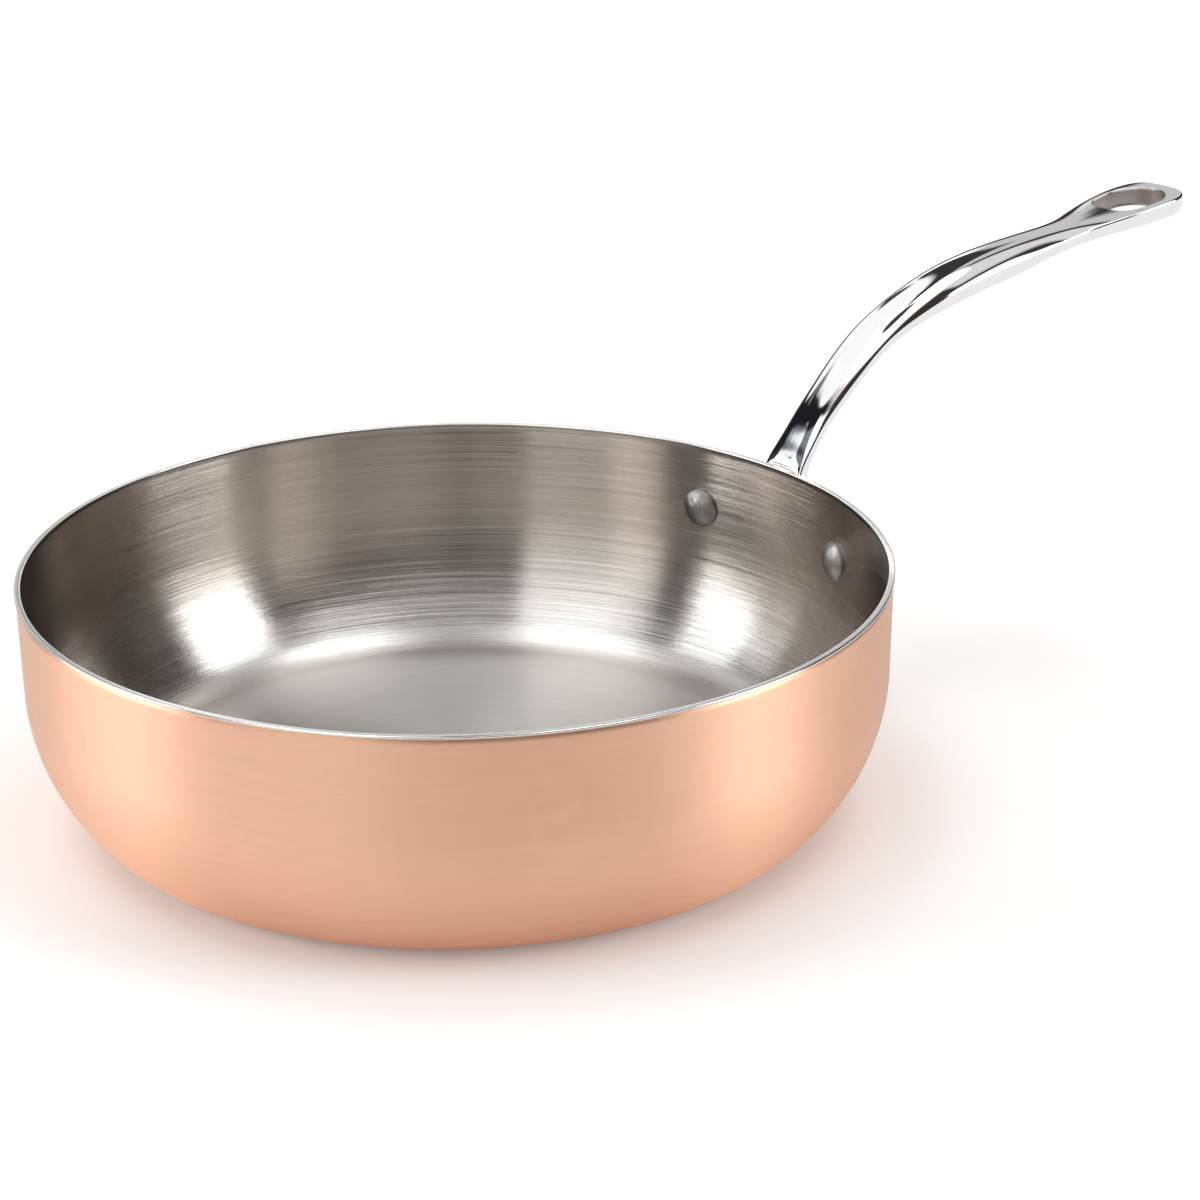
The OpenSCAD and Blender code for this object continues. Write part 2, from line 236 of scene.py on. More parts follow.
def mesh_from_patches(name, patches):
    """One smooth closed mesh from grids of points, with their UV pairs and mask values."""
    starts = np.cumsum([0] + [p.mask.size for p in patches])
    points = np.concatenate([p.points.reshape(-1, 3) for p in patches])
    uv = np.concatenate([p.uv.reshape(-1, 2) for p in patches])
    mask = np.concatenate([p.mask.reshape(-1) for p in patches])
    quads = np.concatenate([grid_quads(*p.mask.shape, s, p.flip) for p, s in zip(patches, starts)])
    mesh = bpy.data.meshes.new(name)
    mesh.from_pydata(points.tolist(), [], quads.tolist())
    layer = mesh.uv_layers.new(name="grain")
    layer.data.foreach_set("uv", uv[quads.reshape(-1)].astype(np.float32).reshape(-1))
    attribute = mesh.attributes.new("mask", "FLOAT", "POINT")
    attribute.data.foreach_set("value", mask.astype(np.float32))
    weld_and_turn(mesh)
    mesh.polygons.foreach_set("use_smooth", np.ones(len(mesh.polygons), bool))
    mesh.update()
    return linked(bpy.data.objects.new(name, mesh))


def linked(obj):
    """The object itself, now in the scene."""
    bpy.context.scene.collection.objects.link(obj)
    return obj


def weld_and_turn(mesh, together=2e-6, empty=1e-7):
    """Welds points that lie together, so that seams and poles close, and turns the faces outwards.
    Every edge then has to lie between two faces."""
    bm = bmesh.new()
    bm.from_mesh(mesh)
    bmesh.ops.remove_doubles(bm, verts=bm.verts, dist=together)
    bmesh.ops.dissolve_degenerate(bm, edges=bm.edges, dist=empty)
    bmesh.ops.recalc_face_normals(bm, faces=bm.faces)
    open_edges = sum(len(e.link_faces) != 2 for e in bm.edges)
    bm.to_mesh(mesh)
    bm.free()
    if open_edges:
        raise RuntimeError(f"{mesh.name} has {open_edges} open or doubled edges")


def run_length(points):
    """Distance run along a line of points, from 0 at its first point."""
    steps = np.linalg.norm(np.diff(points, axis=0), axis=1)
    return np.concatenate([[0.0], np.cumsum(steps)])


def arc(centre, r, start, end, count):
    """Points on a circle between two headings in radians: the centre plus r times (cosine, sine)."""
    a = np.linspace(start, end, count)
    return np.stack([centre[0] + r * np.cos(a), centre[1] + r * np.sin(a)], -1)


def line(a, b, count):
    """Evenly spaced points from a to b."""
    return np.asarray(a) + np.linspace(0, 1, count)[:, None] * (np.asarray(b) - np.asarray(a))


def joined(*runs):
    """Runs of points one after another, without the points that two runs share."""
    kept = [runs[0]]
    for run in runs[1:]:
        kept.append(run[1:] if np.allclose(run[0], kept[-1][-1], atol=1e-7) else run)
    return np.concatenate(kept)


def full_turn(profile, around):
    """Headings over a full turn, the last the same as the first, and the UV of the surface that the
    profile draws over it: the length run along the profile in metres, and the share of the turn."""
    a = np.linspace(0, 2 * np.pi, around + 1)
    a[-1] = 0.0
    share = np.linspace(0, 1, around + 1)
    return a, np.stack(np.broadcast_arrays(run_length(profile)[:, None], share), -1)


def turned_patch(profile, mask=0.0, around=360):
    """Surface of revolution: each profile point (r, z) goes to (r cos a, r sin a, z) for a from 0 to
    a full turn. The mask has a value for each profile point, or one for all."""
    a, uv = full_turn(profile, around)
    r, z = profile[:, :1], profile[:, 1:]
    points = np.stack(np.broadcast_arrays(r * np.cos(a), r * np.sin(a), z), -1)
    return Patch(points, uv, np.broadcast_to(np.reshape(mask, (-1, 1)), points.shape[:2]))


class BowlShape:
    """The outer profile is a straight leaning wall, a long curve and a tight curve, each tangent to
    the next, then the flat base. Every ply's face is this profile moved in by its depth."""

    def __init__(self, b):
        self.b = b
        lean, meet = b.wall_lean, b.curve_meet
        drop = b.base_curve_r * (1 - math.sin(meet)) + b.wall_curve_r * math.sin(meet)
        foot = drop - b.wall_curve_r * math.sin(lean)
        copper_r = b.rim_r - b.bead_lip
        x = copper_r - (b.pan_h - foot) * math.tan(lean) - b.wall_curve_r * math.cos(lean)
        self.wall_centre = np.array([x, drop])
        gap = b.wall_curve_r - b.base_curve_r
        self.base_centre = self.wall_centre - gap * np.array([-math.cos(meet), math.sin(meet)])
        self.total_t = b.copper_t + b.core_t + b.lining_t
        self.bead_z = b.pan_h - b.bead_h

    def wall_x(self, inset, z):
        """Radius of the straight wall at a height, on the face moved in by an inset."""
        b = self.b
        r = b.wall_curve_r - inset
        foot_x = self.wall_centre[0] + r * math.cos(b.wall_lean)
        foot_z = self.wall_centre[1] - r * math.sin(b.wall_lean)
        return foot_x + (z - foot_z) * math.tan(b.wall_lean)

    def face(self, inset, top, flat=20, tight=16, long=44, wall=14):
        """Profile of one face from the axis out over the floor and up the wall to a height. The
        floor's last few millimetres have rows of their own, which keeps it flat up to the curve."""
        b = self.b
        edge_x, close = self.base_centre[0], 0.004
        last = (edge_x - close, inset)
        floor = joined(line((0, inset), last, flat), line(last, (edge_x, inset), 4))
        low = arc(self.base_centre, b.base_curve_r - inset, -math.pi / 2, -b.curve_meet, tight)
        high = arc(self.wall_centre, b.wall_curve_r - inset, -b.curve_meet, -b.wall_lean, long)
        straight = line(high[-1], (self.wall_x(inset, top), top), wall)
        return joined(floor, low, high, straight)


def rounded_bead(shape):
    """Section of the rim bead from the lining's inner face, over the eased inner edge, along the flat
    top and round the full outer edge to the bead's underside, as (r, z) points."""
    b = shape.b
    inner_x = shape.wall_x(shape.total_t, shape.bead_z)
    r_in, r_out = b.bead_inner_r, b.bead_h / 2
    eased = arc((inner_x + r_in, b.pan_h - r_in), r_in, math.pi, math.pi / 2, 8)
    top = line(eased[-1], (b.rim_r - r_out, b.pan_h), 5)
    outer = arc((b.rim_r - r_out, b.pan_h - r_out), r_out, math.pi / 2, -math.pi / 2, 15)
    under = line(outer[-1], (shape.wall_x(b.copper_t + b.core_t, shape.bead_z), shape.bead_z), 4)
    return joined(eased, top, outer, under)


def new_material(name):
    material = bpy.data.materials.new(name)
    material.use_nodes = True
    return material, material.node_tree, material.node_tree.nodes["Principled BSDF"]


def feed(tree, target, inputs):
    """Gives a node's inputs their values, each a socket to link or a fixed value."""
    for key, value in inputs.items():
        if isinstance(value, bpy.types.NodeSocket):
            tree.links.new(value, target.inputs[key])
        else:
            target.inputs[key].default_value = value


def node(tree, kind, inputs=None, **settings):
    """A new node. Its settings come first, because some of them decide which inputs it has."""
    made = tree.nodes.new(kind)
    for key, value in settings.items():
        setattr(made, key, value)
    feed(tree, made, inputs or {})
    return made


def maths(tree, operation, *values, clamp=False):
    made = node(tree, "ShaderNodeMath", dict(enumerate(values)), operation=operation, use_clamp=clamp)
    return made.outputs[0]


def vectors(tree, operation, *values, **named):
    inputs = {**dict(enumerate(values)), **named}
    return node(tree, "ShaderNodeVectorMath", inputs, operation=operation).outputs[0]


def mapped(tree, value, span, to_low=0.0, to_high=1.0):
    """Goes evenly from to_low to to_high as a value crosses a span, and stays there beyond its ends."""
    ends = {"Value": value, "From Min": span[0], "From Max": span[1], "To Min": to_low, "To Max": to_high}
    return node(tree, "ShaderNodeMapRange", ends).outputs[0]


def mixed(tree, factor, a, b, **settings):
    """Colour between two colours, either of them a socket or a fixed colour."""
    inputs = {"Factor": factor}
    for key, value in (("A", a), ("B", b)):
        inputs[key] = value if isinstance(value, bpy.types.NodeSocket) else (*value, 1)
    return node(tree, "ShaderNodeMix", inputs, data_type="RGBA", **settings).outputs["Result"]


def tinted(tree, value, span, rgb, low, high):
    """A colour times a factor that goes from low to high as a value crosses a span."""
    return mixed(tree, mapped(tree, value, span), scaled(rgb, low), scaled(rgb, high))


def scaled(rgb, factor):
    """A colour times a factor, or times one for each channel, and never above 1."""
    return tuple(np.minimum(np.multiply(tuple(rgb), factor), 1.0))


def noise(tree, where, scale, detail, rough=0.5):
    """Noise read at a place. The scale is its cells to each unit there, and rough the finer details'
    strength beside the coarser ones."""
    inputs = {"Vector": where, "Scale": scale, "Detail": detail, "Roughness": rough}
    return node(tree, "ShaderNodeTexNoise", inputs).outputs["Fac"]


def bump(tree, height, strength, distance):
    inputs = {"Height": height, "Strength": strength, "Distance": distance}
    return node(tree, "ShaderNodeBump", inputs).outputs["Normal"]


def ring_noise(tree, given, turn_scale, rings, detail):
    """Noise in rings round the pan's axis. It is read at the heading's cosine and sine times the turn
    scale, and at the length along the profile times the rings per metre."""
    flat = vectors(tree, "MULTIPLY", given["Position"], (1, 1, 0))
    turn = vectors(tree, "SCALE", vectors(tree, "NORMALIZE", flat), Scale=turn_scale)
    lift = node(tree, "ShaderNodeCombineXYZ", {"Z": maths(tree, "MULTIPLY", given["Along"], rings)})
    return noise(tree, vectors(tree, "ADD", turn, lift.outputs[0]), 1.0, detail)


def ring_brushing(tree, given):
    """Fine lines round the pan's axis, long because the noise changes little over a turn."""
    return ring_noise(tree, given, given["Breaks per turn"], given["Lines per metre"], 3.0)


def brush_tilt(tree, given):
    """The grain of a brushed surface, finer than it can be seen. Each hair-thin ring leans the normal
    along the profile by a noise value between -1 and 1, times the lean, which spreads reflections
    across the rings and leaves them sharp along the rings."""
    grain = ring_noise(tree, given, 1.0, given["Rings per metre"], 1.0)
    lean = maths(tree, "MULTIPLY", mapped(tree, grain, (0.2, 0.8), -1.0, 1.0), given["Lean"])
    push = vectors(tree, "SCALE", given["Tangent"], Scale=lean)
    return vectors(tree, "NORMALIZE", vectors(tree, "ADD", given["Normal"], push))


def handling_marks(tree, given):
    """Faint cloudy marks left by wiping and handling: noise of one size times noise 7 times as fine,
    made stronger and cut off at 1."""
    large = noise(tree, given["Position"], given["Size"], 2.0)
    small = noise(tree, given["Position"], maths(tree, "MULTIPLY", given["Size"], 7.0), 4.0, 0.7)
    marks = maths(tree, "MULTIPLY", maths(tree, "MULTIPLY", large, small), 4.0)
    return maths(tree, "MINIMUM", marks, 1.0)


# The shared effects: each one's builder, its output and the kind of that output, then its inputs with
# their defaults, where None stands for a vector.
EFFECTS = {
    "ring brushing": (ring_brushing, "Lines", "NodeSocketFloat", {
        "Position": None, "Along": 0.0, "Lines per metre": 900.0, "Breaks per turn": 3.0}),
    "brush tilt": (brush_tilt, "Normal", "NodeSocketVector", {
        "Position": None, "Along": 0.0, "Normal": None, "Tangent": None,
        "Rings per metre": 40000.0, "Lean": 0.5}),
    "handling marks": (handling_marks, "Marks", "NodeSocketFloat", {"Position": None, "Size": 40.0}),
}


def effect(tree, name, inputs):
    """Output of a shared effect's node group, which is made at its first use."""
    build, output, output_kind, defaults = EFFECTS[name]
    group = bpy.data.node_groups.get(name)
    if group is None:
        group = bpy.data.node_groups.new(name, "ShaderNodeTree")
        for label, default in defaults.items():
            kind = "NodeSocketVector" if default is None else "NodeSocketFloat"
            socket = group.interface.new_socket(label, in_out="INPUT", socket_type=kind)
            if default is not None:
                socket.default_value = default
        group.interface.new_socket(output, in_out="OUTPUT", socket_type=output_kind)
        given, out = group.nodes.new("NodeGroupInput"), group.nodes.new("NodeGroupOutput")
        feed(group, out, {output: build(group, given.outputs)})
    return node(tree, "ShaderNodeGroup", inputs, node_tree=group).outputs[output]


def object_place(tree):
    return node(tree, "ShaderNodeTexCoord").outputs["Object"]


def mask_value(tree):
    return node(tree, "ShaderNodeAttribute", attribute_name="mask").outputs["Fac"]


def grain_run(tree):
    """The length run along the profile, in metres, which the grain map holds."""
    grain = node(tree, "ShaderNodeUVMap", uv_map="grain").outputs["UV"]
    return node(tree, "ShaderNodeSeparateXYZ", {"Vector": grain}).outputs["X"]


def grain_tangent(tree):
    return node(tree, "ShaderNodeTangent", direction_type="UV_MAP", uv_map="grain").outputs["Tangent"]


def metal(name, finish, f):
    """A metal with the shader inputs that a finish makes from the colours and roughnesses."""
    material, tree, shader = new_material(name)
    feed(tree, shader, {"Metallic": 1.0, **finish(tree, f)})
    return material


def copper_finish(tree, f):
    """Satin copper: a faint brushing round the bowl, soft handling marks, warmer in the marks."""
    where, along = object_place(tree), grain_run(tree)
    lines = effect(tree, "ring brushing", {"Position": where, "Along": along,
                                           "Lines per metre": 1100.0, "Breaks per turn": 4.0})
    marks = effect(tree, "handling marks", {"Position": where, "Size": 28.0})
    base = tinted(tree, lines, LINES_SPAN, f.copper, 0.97, 1.02)
    warm = mapped(tree, marks, (0.5, 1.0), 0.0, 0.12)
    rough = mapped(tree, lines, LINES_SPAN, f.copper_rough - 0.03, f.copper_rough + 0.03)
    return {
        "Base Color": mixed(tree, warm, base, scaled(f.copper, (0.95, 0.88, 0.82))),
        "Roughness": maths(tree, "ADD", rough, mapped(tree, marks, MARKS_SPAN, 0.0, 0.04)),
        "Normal": bump(tree, lines, 0.10, 0.00005), "Tangent": grain_tangent(tree),
        "Anisotropic": 0.8}


def lining_finish(tree, f):
    """Steel brushed in rings: long fine lines, streaked gloss, a warmer wall and a polished bead, without
    the grain's lean, whose lighter colour is a painted highlight.
    """
    where, along, tangent, bead = object_place(tree), grain_run(tree), grain_tangent(tree), mask_value(tree)
    lines = effect(tree, "ring brushing", {"Position": where, "Along": along,
                                           "Lines per metre": 2300.0, "Breaks per turn": 0.8})
    floor, side = (tinted(tree, lines, LINES_SPAN, rgb, 0.92, 1.06) for rgb in (f.lining, f.lining_wall))
    base = mixed(tree, mapped(tree, along, NEUTRAL_TO_WARM), floor, side)
    streak = mapped(tree, lines, LINES_SPAN, f.lining_rough - 0.015, f.lining_rough + 0.015)
    # The cooking floor is matter and its grain runs every way, so the lean fades out over the curve.
    wall = mapped(tree, along, FLOOR_TO_WALL)
    matt = mapped(tree, wall, (0.0, 1.0), f.floor_rough - f.lining_rough, 0.0)
    plain = maths(tree, "SUBTRACT", 1.0, bead, clamp=True)
    lean = maths(tree, "MULTIPLY", maths(tree, "MULTIPLY", wall, plain), 0.60)
    grain = effect(tree, "brush tilt", {"Position": where, "Along": along, "Tangent": tangent,
                                        "Normal": bump(tree, lines, 0.12, 0.00003), "Lean": lean})
    return {
        # The bead's lighter colour is a painted highlight along the rim; its polish is only the grain's
        # lean left out.
        "Base Color": mixed(tree, bead, base, (0.80, 0.80, 0.79)),
        "Roughness": maths(tree, "ADD", streak, matt),
        "Normal": grain, "Tangent": tangent, "Anisotropic": 0.75}


def handle_finish(tree, f):
    """Mirror polish on a casting: hardly any roughness, a slow waviness and faint wiping marks. The
    mask keeps the eye's wall as it was cast, matt, and darker as painted shade inside the hole."""
    where, cast = object_place(tree), mask_value(tree)
    marks = effect(tree, "handling marks", {"Position": where, "Size": 60.0})
    base = tinted(tree, marks, MARKS_SPAN, f.handle, 1.0, 0.96)
    # The eye's wall is matt, and its darker colour is painted shade inside the hole.
    dull_and_shaded = tinted(tree, marks, MARKS_SPAN, f.cast, 1.0, 0.85)
    rough = mapped(tree, marks, MARKS_SPAN, f.handle_rough, f.handle_rough + 0.03)
    return {
        "Base Color": mixed(tree, cast, base, dull_and_shaded),
        "Roughness": maths(tree, "ADD", rough, mapped(tree, cast, (0.0, 1.0), 0.0, 0.36)),
        "Normal": bump(tree, noise(tree, where, 45.0, 1.0), 0.02, 0.0003)}


def rivet_finish(tree, f):
    """Matt tumbled steel with fine pits, and darker patches at random."""
    where = object_place(tree)
    marks = effect(tree, "handling marks", {"Position": where, "Size": 260.0})
    pits = maths(tree, "MULTIPLY", noise(tree, where, 900.0, 4.0, 0.7), 0.15)
    height = maths(tree, "ADD", pits, noise(tree, where, 230.0, 1.0))
    return {
        "Base Color": tinted(tree, marks, MARKS_SPAN, f.rivet, 1.15, 0.80),
        "Roughness": mapped(tree, marks, (0.3, 1.0), 0.27, 0.42),
        "Normal": bump(tree, height, 0.8, 0.0006)}


def core_finish(tree, f):
    """Rolled aluminium, sealed between the plies."""
    marks = effect(tree, "handling marks", {"Position": object_place(tree), "Size": 50.0})
    return {
        "Base Color": tinted(tree, marks, (0.3, 1.0), f.core, 1.0, 0.92),
        "Roughness": mapped(tree, marks, (0.3, 1.0), 0.40, 0.52)}


def add_piece(name, patches, material, slot, *nodes):
    """A finished piece with its material, its body and the CAD nodes it stands for. The slot is not used.
    """
    obj = mesh_from_patches(name, patches)
    obj.data.materials.append(material)
    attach(obj, "root")
    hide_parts(*nodes)


def rivet_patch(shape, r, flange_t, side, around=72, under=4):
    """One rivet as a surface of revolution about its own axis: a domed head with a small rounded edge,
    a shank and a closed head. Both seats follow the curved, leaning wall: along the axis they move by
    the root of the wall radius squared less the sideways distance squared, less the wall radius, plus
    the distance upwards times the lean's tangent."""
    b = shape.b
    z0 = b.pan_h - r.drop
    inner_x, outer_x = shape.wall_x(shape.total_t, z0), shape.wall_x(0.0, z0) + flange_t
    head = head_profile(r.head_d / 2, r.head_h, r.edge)
    tail = head_profile(r.tail_d / 2, r.tail_h, r.edge)
    shank = r.shank_d / 2
    inner = np.stack([head[:, 0], inner_x - head[:, 1]], -1)
    outer = np.stack([tail[::-1, 0], outer_x + tail[::-1, 1]], -1)
    under_in = line(inner[-1], (shank, inner[-1][1]), under)
    body = line(under_in[-1], (shank, outer[0][1]), 6)
    profile = joined(inner, under_in, body, line(body[-1], outer[0], under), outer)
    seat = np.zeros(len(profile))
    for first in (len(head) - 1, len(profile) - len(tail) - under + 1):
        seat[first:first + under] = 1.0
    a, uv = full_turn(profile, around)
    sideways = profile[:, :1] * np.cos(a)
    upward = profile[:, :1] * np.sin(a)
    along = np.broadcast_to(profile[:, 1:], sideways.shape)
    follow = seat[:, None] * (np.sqrt(along ** 2 - sideways ** 2) - along + upward * math.tan(b.wall_lean))
    outward = along + follow
    turn = side * math.asin(r.pitch / 2 / inner_x)
    x = outward * math.cos(turn) - sideways * math.sin(turn)
    y = outward * math.sin(turn) + sideways * math.cos(turn)
    return Patch(np.stack([x, y, z0 + upward], -1), uv)


def head_profile(radius, height, edge):
    """Half section of a domed head from its crown to its seat: a circular dome, a rounded shoulder
    tangent to the dome and the straight edge, and the edge, as (distance from the axis, height)."""
    dome = height - edge
    dome_r = (dome ** 2 + radius ** 2) / (2 * dome)
    ease = 0.45 * edge
    centre_h = height - dome_r
    # The shoulder's centre lies one ease in from the edge and dome_r - ease from the dome's centre.
    shoulder_x = radius - ease
    shoulder_h = centre_h + math.sqrt((dome_r - ease) ** 2 - shoulder_x ** 2)
    meet = math.atan2(shoulder_h - centre_h, shoulder_x)
    crown = arc((0, centre_h), dome_r, math.pi / 2, meet, 18)
    shoulder = arc((shoulder_x, shoulder_h), ease, meet, 0.0, 7)
    side = line(shoulder[-1], (radius, 0.0), 4)
    points = joined(crown, shoulder, side)
    points[0, 0] = 0.0
    return points


class HandleSpine:
    """The handle's centre line, widths, domes and thicknesses: a uniform cubic B-spline that has the
    stations as its control points, read by the distance run along its centre line."""

    def __init__(self, bowl, rivets, h):
        root = ROOT_SHARES * np.array([rivets.drop, h.width, h.dome, h.thickness])
        root_x = np.full((len(root), 1), -bowl.bead_lip - h.gap)
        grip = GRIP_SHARES * np.array([h.reach, h.rise, h.width, h.dome, h.thickness])
        self.stations = np.concatenate([np.hstack([root_x, root]), grip])
        self.spans = len(self.stations) - 3
        self.origin = np.array([bowl.rim_r, bowl.pan_h])
        self.h = h
        self.fine_t = np.linspace(0, self.spans, 20001)
        rows = self.rows_at(self.fine_t)
        self.fine_s = run_length(rows[:, :2])
        # Past this sample the line only goes outwards, so a distance out has one run.
        outer = slice(12000, None)
        self.outer_x, self.outer_s = rows[outer, 0], self.fine_s[outer]
        self.tip_s = self.run_at(h.reach)

    def run_at(self, x):
        """Run at a distance out from the rim's edge, on the outer part of the line."""
        return float(np.interp(x, self.outer_x, self.outer_s))

    def blend(self, t, weights):
        """Four neighbouring stations times their weights, which depend on the fraction of the span."""
        i = np.minimum(np.floor(t).astype(int), self.spans - 1)
        u = (t - i)[..., None]
        return sum(w * self.stations[i + k] for k, w in enumerate(weights(u, 1 - u)))

    def rows_at(self, t):
        """Each value is the sum of four neighbouring stations, weighted by the cubic B-spline
        polynomials of the fraction of the span."""
        return self.blend(t, lambda u, v: (v ** 3 / 6, (3 * u ** 3 - 6 * u ** 2 + 4) / 6,
                                           (3 * v ** 3 - 6 * v ** 2 + 4) / 6, u ** 3 / 6))

    def slopes_at(self, t):
        """The same sum with the polynomials' derivatives."""
        return self.blend(t, lambda u, v: (-v ** 2 / 2, (3 * u ** 2 - 4 * u) / 2,
                                           (1 + 2 * u - 3 * u ** 2) / 2, u ** 2 / 2))

    def at(self, s):
        """Rows (distance out, height, width, dome, thickness) at distances run along the line."""
        return self.rows_at(np.interp(s, self.fine_s, self.fine_t))

    def place(self, s, y, lift):
        """Points at a run s, a sideways distance y and a lift square to the centre line."""
        t = np.interp(s, self.fine_s, self.fine_t)
        slopes = self.slopes_at(t)[..., :2]
        tangent = slopes / np.linalg.norm(slopes, axis=-1)[..., None]
        # Past the ends of the line the run goes straight on.
        over = (s - np.clip(s, self.fine_s[0], self.fine_s[-1]))[..., None]
        base = self.origin + self.rows_at(t)[..., :2] + over * tangent
        x = base[..., 0] - lift * tangent[..., 1]
        z = base[..., 1] + lift * tangent[..., 0]
        return np.stack([x, y, z], -1)

    def top(self, s, y, power=3.2):
        """Lift of the domed top: the dome's height times one less the sideways share to a power, where
        the share is of the half width before the tip rounds off."""
        rows = self.at(s)
        return rows[..., 3] * (1 - (np.abs(y) / (rows[..., 2] / 2)) ** power)

    def thickness(self, s):
        return self.at(s)[..., 4]

    def surface(self, plan, top):
        """Points of the domed top or of the flat underside at plan points (run, sideways)."""
        s, y = plan[..., 0], plan[..., 1]
        return self.place(s, y, self.top(s, y) if top else -self.thickness(s))

    def half_outline(self, power=3.3):
        """Dense plan of one side, from the root to the tip: half the width, drawn in over the tip's
        last stretch by a superellipse of a power."""
        tip_from = self.run_at(self.h.reach - self.h.tip_round)
        straight = np.linspace(0, tip_from, 16001)
        a = np.linspace(0, np.pi / 2, 8001)[1:]
        rounding = tip_from + (self.tip_s - tip_from) * np.sin(a) ** (2 / power)
        share = np.concatenate([np.ones(len(straight)), np.maximum(np.cos(a), 0) ** (2 / power)])
        share[-1] = 0.0
        s = np.concatenate([straight, rounding])
        return np.stack([s, self.at(s)[:, 2] / 2 * share], -1)


def sampled(run, values, distances):
    """Rows of values that are known along a dense line, read at distances run along it."""
    return np.stack([np.interp(distances, run, column) for column in values.T], -1)


def plan_normals(points):
    """Unit normals of a plan line, to the right of the way it runs."""
    d = np.gradient(points, axis=0)
    d /= np.linalg.norm(d, axis=1)[:, None]
    return np.stack([d[:, 1], -d[:, 0]], -1)


def with_mirror(left):
    """Plan rows from the root to the tip, and on back to the root along the other side."""
    return np.concatenate([left, left[::-1][1:] * np.array([1, -1])])


def edge_fillet(spine, edge, normal, radius, steps):
    """Rounded edge where the domed top meets an upright side. In the plane of the edge's plan normal
    the ball of that radius touches the side and the top: the touching point is found by halving, and
    the arc runs from the top's slope to upright. Returns the distance out from the edge (negative, so
    inside) and the lift of each arc point, edge points by steps."""
    def top_at(e):
        p = edge + e[:, None] * normal
        return spine.top(p[:, 0], p[:, 1])

    def slope_at(e, tiny=2e-5):
        return (top_at(e + tiny) - top_at(e - tiny)) / (2 * tiny)

    low, high = np.full(len(edge), -radius), np.zeros(len(edge))
    for _ in range(40):
        mid = (low + high) / 2
        m = slope_at(mid)
        past = mid + radius * m / np.sqrt(1 + m ** 2) + radius > 0
        high = np.where(past, mid, high)
        low = np.where(past, low, mid)
    touch = (low + high) / 2
    m = slope_at(touch)
    centre_lift = top_at(touch) - radius / np.sqrt(1 + m ** 2)
    start = np.arctan2(1.0, -m)
    angles = start[:, None] * (1 - np.linspace(0, 1, steps))[None, :]
    return -radius + radius * np.cos(angles), centre_lift[:, None] + radius * np.sin(angles)


def side_strip(spine, edge, normal, fillet, corner):
    """An upright side all along a plan edge: its fillet at the top, the side itself and a rounded
    lower corner, each in as many steps. Corner is that corner's radius at each edge point. Returns
    runs, sideways distances and lifts, edge points by section points."""
    out, lift = fillet
    steps = out.shape[1]
    t = spine.thickness(edge[:, 0])
    share = np.linspace(0, 1, steps)[1:-1]
    side_lift = lift[:, -1:] + share * (corner - t - lift[:, -1])[:, None]
    a = np.linspace(0, np.pi / 2, steps)
    low_out = -corner[:, None] + corner[:, None] * np.cos(a)
    low_lift = (corner - t)[:, None] - corner[:, None] * np.sin(a)
    out = np.hstack([out, np.zeros_like(side_lift), low_out])
    lift = np.hstack([lift, side_lift, low_lift])
    return edge[:, :1] + out * normal[:, :1], edge[:, 1:] + out * normal[:, 1:], lift


def eye_loop(h, centre, a):
    """Plan of the hanging eye at polar angles about its widest place: a superellipse of power 2.7
    towards the bowl and 2 towards the tip. The radius r at a heading solves
    (r cos / length)^p + (r sin / half width)^p = 1."""
    forward = np.cos(a) >= 0
    p = np.where(forward, 2.0, 2.7)
    length = np.where(forward, 1 - EYE_WIDEST, EYE_WIDEST) * h.eye_l
    r = ((np.abs(np.cos(a)) / length) ** p + (np.abs(np.sin(a)) / (h.eye_w / 2)) ** p) ** (-1 / p)
    return centre + r[:, None] * np.stack([np.cos(a), np.sin(a)], -1)


def spread(outer, inner, rings):
    """Rings of points between two loops: straight rays from each outer point to its partner."""
    k = np.linspace(0, 1, rings)[:, None, None]
    return outer[None] * (1 - k) + inner[None] * k


def handle_edge(spine, h):
    """Plan of the handle's edge from the root round the tip and back, and its outward normals. The
    rows of the shaft end at a seam short of the eye."""
    half = spine.half_outline()
    run = run_length(half)
    seam = float(np.interp(spine.tip_s - h.eye_end - h.eye_l - SEAM_GAP, half[:, 0], run))
    distances = np.concatenate([np.linspace(0, seam, SHAFT_ROWS + 1),
                                np.linspace(seam, run[-1], TIP_ROWS + 1)[1:]])
    left = sampled(run, half, distances)
    left[-1, 1] = 0.0
    # Normals come from the dense line, so that they stay smooth at the tip.
    normal = sampled(run, -plan_normals(half), distances)
    normal /= np.linalg.norm(normal, axis=1)[:, None]
    normal[-1] = (1.0, 0.0)
    return with_mirror(left), with_mirror(normal)


